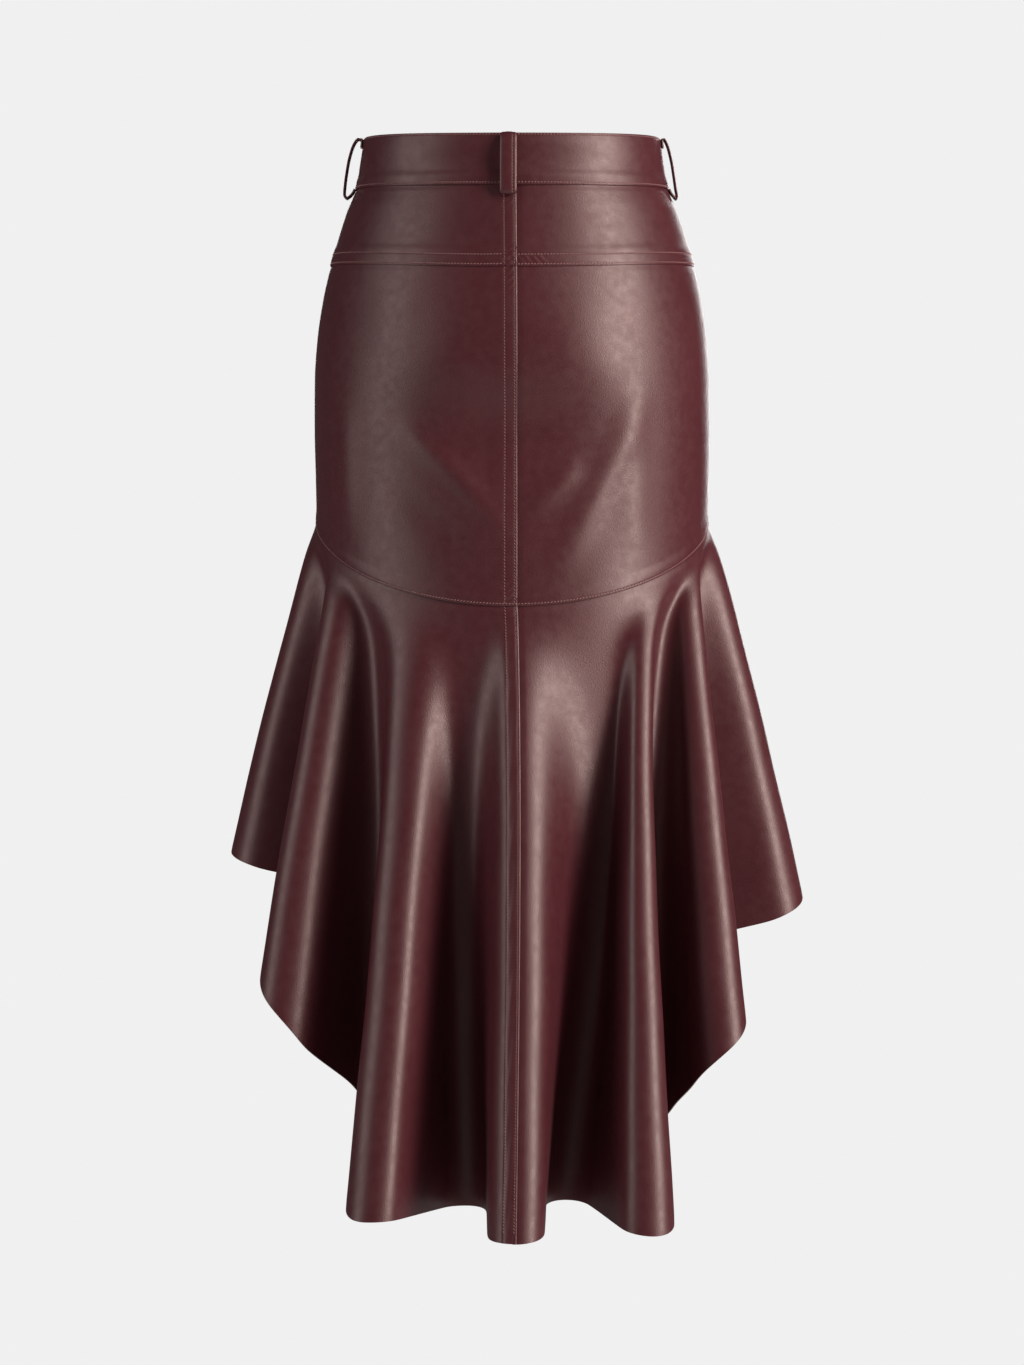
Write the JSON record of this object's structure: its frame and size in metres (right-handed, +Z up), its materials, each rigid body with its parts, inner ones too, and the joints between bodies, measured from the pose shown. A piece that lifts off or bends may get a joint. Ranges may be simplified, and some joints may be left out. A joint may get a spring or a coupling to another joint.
{
  "type": "leather skirt",
  "caption": "Fitted leather skirt with a back yoke, belt loops and a high-low flounce that is long at the back and hangs in round folds.",
  "frame": {"origin": "centre of the waist opening, level with the waistband's top edge at the sides, where the wearer's waist holds the skirt", "axes": "+Z up, -Y to the wearer's front, +Y to the wearer's back, +X to the wearer's left"},
  "size_m": [0.4833, 0.4481, 0.9132],
  "materials": {
    "leather": "smooth dark burgundy nappa with a soft satin gloss and a fine grain",
    "thread": "tone-on-tone burgundy topstitching thread, slightly lighter than the leather"
  },
  "bodies": {
    "root": {"waistband_back": "leather", "waistband_front_left": "leather", "waistband_front_right": "leather", "yoke_back_left": "leather", "yoke_back_right": "leather", "body_back_left": "leather", "body_back_right": "leather", "body_front_left": "leather", "body_front_right": "leather", "flounce_back_left": "leather", "flounce_back_right": "leather", "flounce_front": "leather", "belt_loop_back": "leather", "belt_loop_left": "leather", "belt_loop_right": "leather"}
  },
  "joints": []
}
